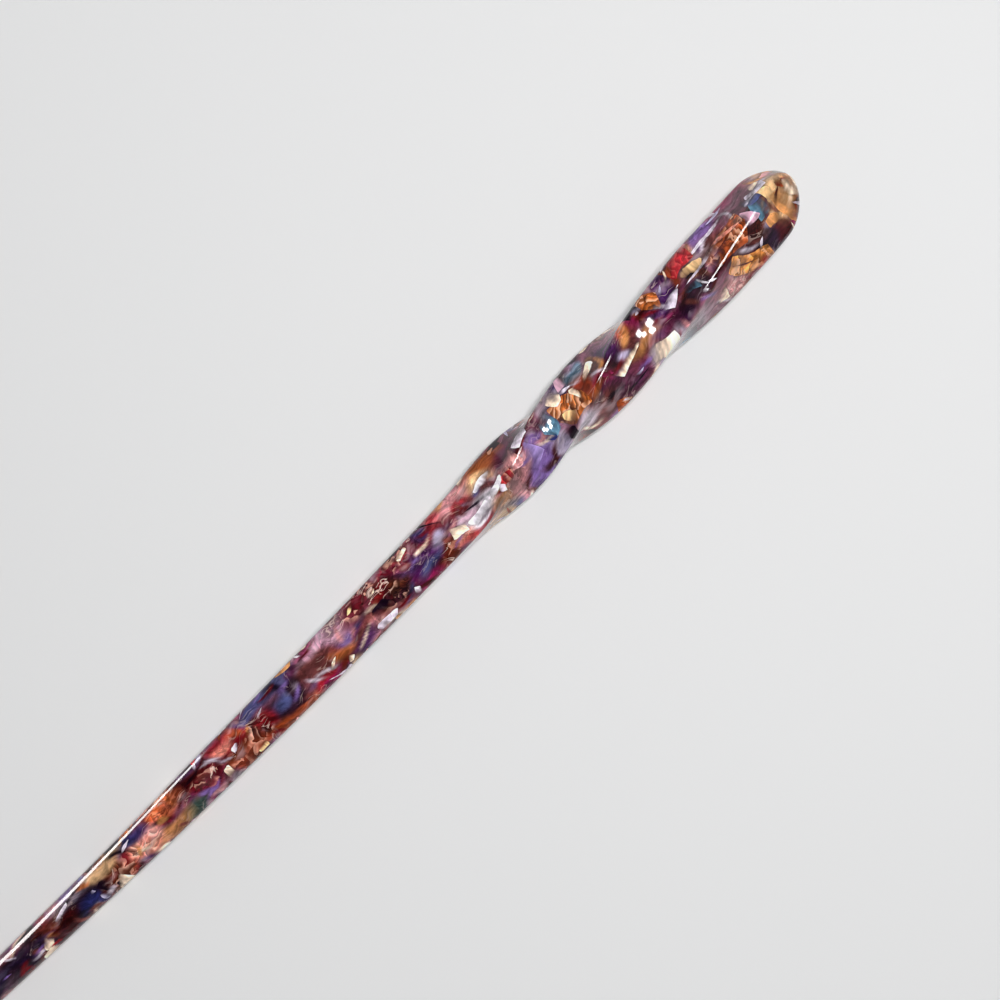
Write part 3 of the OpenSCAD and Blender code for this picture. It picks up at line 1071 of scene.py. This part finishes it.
def flow_group():
    """Long soft streaks and thin wisps, as the binder was drawn out with the chips in it."""
    group, w, given, result = new_group(
        "drawn binder",
        (("Under", "NodeSocketColor"), ("Place", "NodeSocketVector"),
         ("Crumple", "NodeSocketFloat")),
        (("Color", "NodeSocketColor"),))
    place = given["Place"]
    stir_scale, stir_reach = 0.22, 5.0
    drawn = w.vector("MULTIPLY", w.stirred(place, stir_scale, stir_reach), BINDER_DRAWN)
    grain = w.noise(drawn, scale=1.1, detail=5.0, roughness=0.62)[0]
    darkest, lightest = 0.62, 1.42
    colour = w.scaled(given["Under"], w.between(grain, 0.3, 0.7, darkest, lightest))
    wisp = w.noise(drawn, scale=0.6, detail=3.0, roughness=0.55)[0]
    here = w.noise(place, scale=0.3, detail=1.0)[0]
    milky = w.between(wisp, 0.54, 0.68)
    milky_patches = w.between(here, 0.42, 0.6, 0.0, 0.4)
    colour = w.veil(w.times(milky, milky_patches), colour, MILK)
    strength = w.between(given["Crumple"], 0.1, 0.7, 0.3, 1.0)
    for level, edge, low, low_share, high, high_share, shown in DRAWN_LINES:
        off = w.math("ABSOLUTE", w.math("SUBTRACT", wisp, level))
        line = w.between(off, LINE_CORE, edge, 1.0, 0.0)
        line = w.times(line, w.between(here, low, high, low_share, high_share))
        colour = w.veil(w.times(line, strength), colour, shown)
    w.fill(result["Color"], colour)
    return group


def chip_group():
    """One layer of chips over a colour: sharp on one side, sunk into the binder on the other, with painted
    light and shade and a painted shadow round each chip.
    """
    group, w, given, result = new_group(
        "crisp chips",
        (("Under", "NodeSocketColor"), ("Measures", "NodeSocketVector"),
         ("Tint", "NodeSocketColor"), ("Crumple", "NodeSocketFloat"), ("Place", "NodeSocketVector"),
         ("Tone", "NodeSocketFloat"), ("Rim", "NodeSocketFloat"), ("Fray", "NodeSocketFloat")),
        (("Color", "NodeSocketColor"),))
    inside, aside, fold = w.parts(given["Measures"])
    # Streaks run another way in each chip, because its own tint turns them.
    turn_by_tint = 29.0
    turned = w.rotated(given["Place"], w.scaled(given["Tint"], turn_by_tint))
    drawn = w.vector("MULTIPLY", turned, CHIP_DRAWN)
    streak = w.math("SUBTRACT", w.noise(drawn, scale=1.3, detail=2.0)[0], 0.5)
    # The outline, made ragged, and the line where the chip sinks, made more so.
    edge_fray, edge_streak, sink_fray, sink_streak = 0.2, 0.1, 1.2, 1.2
    ragged = w.plus(w.times(given["Fray"], edge_fray), w.times(streak, edge_streak))
    inside = w.plus(w.math("SUBTRACT", inside, w.math("ABSOLUTE", aside)), ragged)
    bent = w.plus(fold, w.times(given["Fray"], sink_fray))
    bent = w.plus(bent, w.times(streak, sink_streak))
    # How sharp its edge is, and how much it hides, from the sunk side to the raised one.
    deep_blur, sharp_blur = 0.4, 0.035
    blur = w.between(bent, -1.2, 0.3, deep_blur, sharp_blur)
    faint, full = 0.06, 0.95
    cover = w.between(inside, w.times(blur, -1.0), blur)
    cover = w.times(cover, w.between(bent, -1.1, 0.6, faint, full))
    # Its tone: darker where it sinks into the binder, and lighter than its colour, a painted sheen, where
    # it is raised; its own streaks; and a painted highlight along its raised edge and painted shade along
    # its sunk edge.
    sunk_tone, raised_sheen_tone = 0.56, 1.3
    tone = w.between(bent, -1.2, 1.7, sunk_tone, raised_sheen_tone)
    streaky = 1.3
    contrast = w.plus(w.times(given["Crumple"], streaky), streaky)
    tone = w.times(tone, w.plus(w.times(streak, contrast), 1.0))
    edge = w.between(inside, 0.0, 0.16, 1.0, 0.0)
    edge_highlight_and_shade = w.between(bent, -0.4, 0.8, -0.3, 0.22)
    tone = w.plus(tone, w.times(edge, edge_highlight_and_shade))
    # Painted light and shade of its folds, as far as it is crumpled, and pale film on their lit side.
    tone = w.times(tone, w.faded(given["Crumple"], given["Tone"]))
    lit = w.scaled(given["Tint"], tone)
    pale = w.times(given["Rim"], w.between(given["Crumple"], 0.3, 0.9, 0.0, 0.75))
    lit = w.veil(pale, lit, NEAR_FILM)
    # A painted shadow darkens what lies under the chip, just outside its edge.
    chip_shadow = w.between(inside, -0.3, 0.0, 1.0, 0.8)
    w.fill(result["Color"], w.mix(cover, w.scaled(given["Under"], chip_shadow), lit))
    return group


def new_material(name):
    """A material with no nodes yet, and its wiring."""
    material = bpy.data.materials.new(name)
    material.use_nodes = True
    material.node_tree.nodes.clear()
    return material, Wiring(material.node_tree)


def acetate_material(look):
    """Polished acetate pressed from many-coloured chips in a clear binder."""
    material, w = new_material("pressed acetate")
    place, coat = w.stored("bar")["Vector"], w.stored("coat")
    crumple, deep_size, near_size = crumple_group(), 2.6, 2.8
    deep = w.group(crumple, {"Place": place, "Size": deep_size})
    elsewhere = w.vector("ADD", place, (31.0, 17.0, 5.0))
    near = w.group(crumple, {"Place": elsewhere, "Size": near_size})
    fray = w.math("SUBTRACT", w.noise(place, scale=0.9, detail=3.0)[0], 0.5)
    # Painted light and shade of the deep coat's folds, as far as it is crumpled, and pale film on their
    # lit side.
    colour = w.scaled(coat["Color"], w.faded(coat["Alpha"], deep["Tone"]))
    pale = w.times(deep["Rim"], w.between(coat["Alpha"], 0.3, 0.8, 0.0, 0.85))
    colour = w.veil(pale, colour, DEEP_FILM)
    colour = w.group(
        flow_group(), {"Under": colour, "Place": place, "Crumple": coat["Alpha"]})[0]
    layer = chip_group()
    for k in range(look.crisp_layers):
        chips, tints = w.stored(f"chips_{k}"), w.stored(f"tints_{k}")
        colour = w.group(layer, {
            "Under": colour, "Measures": chips["Vector"], "Tint": tints["Color"],
            "Crumple": tints["Alpha"], "Place": place, "Tone": near["Tone"], "Rim": near["Rim"],
            "Fray": fray})[0]
    # Clear acetate over the chips lightens the pale ones and deepens the dark ones.
    gain, gamma = 1.2, 1.46
    colour = w.vector("MINIMUM", w.scaled(colour, gain), (1.0, 1.0, 1.0))
    colour = w.add("ShaderNodeGamma", {0: colour, 1: gamma}).outputs[0]
    ripple = w.noise(place, scale=0.4, detail=1.0)[0]
    strength, depth, acetate_ior = 0.2, 0.02 * MM, 1.49
    bump = w.add("ShaderNodeBump", {"Height": ripple, "Strength": strength, "Distance": depth})
    shader = w.add("ShaderNodeBsdfPrincipled", {
        "Base Color": colour, "Roughness": look.polish, "IOR": acetate_ior,
        "Normal": bump.outputs[0]})
    w.add("ShaderNodeOutputMaterial", {"Surface": shader.outputs[0]})
    return material


def table_material(look):
    """Plain pale table top with a faint mottle."""
    material, w = new_material("pale table")
    place = w.add("ShaderNodeTexCoord").outputs["Object"]
    mottle = w.noise(place, scale=6.0, detail=3.0)[0]
    darker = 0.97
    shaded = tuple(darker * v for v in look.table_colour)
    colour = w.mix(mottle, (*shaded, 1), (*look.table_colour, 1))
    shader = w.add("ShaderNodeBsdfPrincipled", {
        "Base Color": colour, "Roughness": 0.9, "Specular IOR Level": 0.0})
    w.add("ShaderNodeOutputMaterial", {"Surface": shader.outputs[0]})
    return material


def build_table(look):
    """A wide round table top under the stick."""
    radius, sides = 3.0, 96
    turns = [cos_sin(math.tau * k / sides) for k in range(sides)]
    mesh = bpy.data.meshes.new("table_top")
    mesh.from_pydata([(radius * c, radius * s, 0) for c, s in turns], [], [tuple(range(sides))])
    mesh.materials.append(table_material(look))
    return place_object("table_top", mesh)


# Pixels along a side of the picture, and where the crown's tip lies in it, in
# pixels from its upper left corner.
PICTURE_SIDE = 1000
CROWN_PIXEL = (791, 177)
# Width of the camera's sensor, in millimetres, and how near and far it sees, in metres.
SENSOR_WIDTH = 36.0
CLIP = (0.01, 10.0)


def place_camera(look, sizes):
    """A camera square to the stick, with the crown where the photograph has it.

    Gives the middle of the picture, and along, across and up of the resting stick.
    """
    form = StickForm(sizes)
    crown = Vector(form.placed()[-1].mean(0))
    c, s = cos_sin(form.tilt)
    along, across, up = Vector((c, 0, s)), Vector((0, 1, 0)), Vector((-s, 0, c))
    c, s = cos_sin(look.slope)
    right, above = along * c - across * s, along * s + across * c
    pixel, half = look.scale / PICTURE_SIDE, PICTURE_SIDE / 2
    target = crown + right * (half - CROWN_PIXEL[0]) * pixel
    target += above * (CROWN_PIXEL[1] - half) * pixel
    data = bpy.data.cameras.new("camera")
    data.lens, data.sensor_width = look.lens, SENSOR_WIDTH
    data.clip_start, data.clip_end = CLIP
    camera = place_object("camera", data)
    distance = look.scale * look.lens / SENSOR_WIDTH
    turn = Matrix((right, above, up)).transposed().to_4x4()
    camera.matrix_world = Matrix.Translation(target + up * distance) @ turn
    bpy.context.scene.camera = camera
    return target, along, across, up


# Tone of the even light by how steeply it comes down: 0 from the horizon or from
# under it, 1 from straight overhead.
SKY_TONES = ((0.0, 0.35), (0.25, 0.6), (0.5, 0.9), (0.75, 0.45), (0.9, 0.08), (1.0, 0.04))


def build_sky(look):
    """Even light from all round, dimmer overhead, so that the flat shaft reflects little."""
    world = bpy.data.worlds.new("even light")
    world.use_nodes = True
    w = Wiring(world.node_tree)
    height = w.parts(w.add("ShaderNodeTexCoord").outputs["Generated"])[2]
    background = world.node_tree.nodes["Background"]
    w.fill(background.inputs["Color"], (1.0, 1.0, 1.0, 1.0))
    w.fill(background.inputs["Strength"], w.times(w.ramp(height, SKY_TONES), look.ambient))
    bpy.context.scene.world = world


# Lamps, placed from the middle of the picture in metres: along the stick to its
# crown, beside it to the upper left, and up. Each is turned about the stick's
# line to face it. Those for the gloss are seen in the polish alone, and the two
# ceiling lamps light the colours alone.
LAMPS = (
    # name, along, beside, up, length, breadth, radiance, lights
    ("spot_crown", 0.145, -0.078, 0.75, 0.07, 0.07, 50.0, "gloss"),
    ("spot_near", 0.082, -0.038, 0.75, 0.050, 0.06, 55.0, "gloss"),
    ("spot_low", 0.028, 0.060, 0.75, 0.06, 0.07, 55.0, "gloss"),
    ("spot_far", 0.100, 0.100, 0.75, 0.07, 0.08, 55.0, "gloss"),
    ("window", -0.104, 0.150, 0.040, 0.05, 0.085, 19.0, "gloss"),
    ("low_ceiling", 0.09, 0.00, 0.33, 0.055, 0.055, 63.0, "colour"),
    ("high_ceiling", 0.09, 0.00, 2.4, 0.40, 0.40, 43.0, "colour"),
)


def build_light(look, view):
    """The even light and the lamps."""
    target, along, beside, up = view
    build_sky(look)
    for name, ahead, aside, height, length, breadth, radiance, lights in LAMPS:
        data = bpy.data.lights.new(name, "AREA")
        data.shape, data.size, data.size_y = "RECTANGLE", length, breadth
        data.energy = radiance * math.pi * length * breadth
        light = place_object(name, data)
        facing = (beside * aside + up * height).normalized()
        turn = Matrix((along, facing.cross(along), facing)).transposed().to_4x4()
        place = target + along * ahead + beside * aside + up * height
        light.matrix_world = Matrix.Translation(place) @ turn
        light.visible_camera = False
        light.visible_diffuse = lights == "colour"
        light.visible_glossy = lights == "gloss"


class HAIRSTICK_OT_stick(bpy.types.Operator):
    """Build the stick over its CAD node and give it its pressed acetate"""

    bl_idname = "hair_stick.stick"
    bl_label = "Hair stick"

    def execute(self, context):
        look = context.scene.acetate_look
        stick = build_stick(context.scene.stick_sizes, look)
        stick.data.materials.append(acetate_material(look))
        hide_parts("stick")
        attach(stick, "root")
        return {"FINISHED"}


class HAIRSTICK_OT_stage(bpy.types.Operator):
    """Build the table, the light and the camera"""

    bl_idname = "hair_stick.stage"
    bl_label = "Table, light and camera"

    def execute(self, context):
        scene = context.scene
        build_table(scene.studio_look)
        view = place_camera(scene.studio_look, scene.stick_sizes)
        build_light(scene.studio_look, view)
        scene.view_settings.view_transform = "Standard"
        return {"FINISHED"}


class HAIRSTICK_PT_panel(bpy.types.Panel):
    """Lists what the add-on builds"""

    bl_idname = "HAIRSTICK_PT_panel"
    bl_label = "Hair Stick"
    bl_space_type = "VIEW_3D"
    bl_region_type = "UI"
    bl_category = "Hair Stick"

    def draw(self, context):
        layout, scene = self.layout, context.scene
        for settings, title in (
                (scene.stick_sizes, "Stick"), (scene.acetate_look, "Acetate"),
                (scene.studio_look, "Studio")):
            box = layout.box()
            box.label(text=title)
            for name in settings.bl_rna.properties.keys():
                if name not in ("rna_type", "name"):
                    box.prop(settings, name)
        layout.operator(HAIRSTICK_OT_stick.bl_idname)
        layout.operator(HAIRSTICK_OT_stage.bl_idname)


CLASSES = (
    StickSizes, AcetateLook, StudioLook,
    HAIRSTICK_OT_stick, HAIRSTICK_OT_stage, HAIRSTICK_PT_panel,
)


def register():
    for cls in CLASSES:
        bpy.utils.register_class(cls)
    bpy.types.Scene.stick_sizes = PointerProperty(type=StickSizes)
    bpy.types.Scene.acetate_look = PointerProperty(type=AcetateLook)
    bpy.types.Scene.studio_look = PointerProperty(type=StudioLook)


def unregister():
    del bpy.types.Scene.studio_look
    del bpy.types.Scene.acetate_look
    del bpy.types.Scene.stick_sizes
    for cls in reversed(CLASSES):
        bpy.utils.unregister_class(cls)


def main():
    register()
    bpy.ops.hair_stick.stick()
    bpy.ops.hair_stick.stage()


if __name__ == "__main__":
    main()
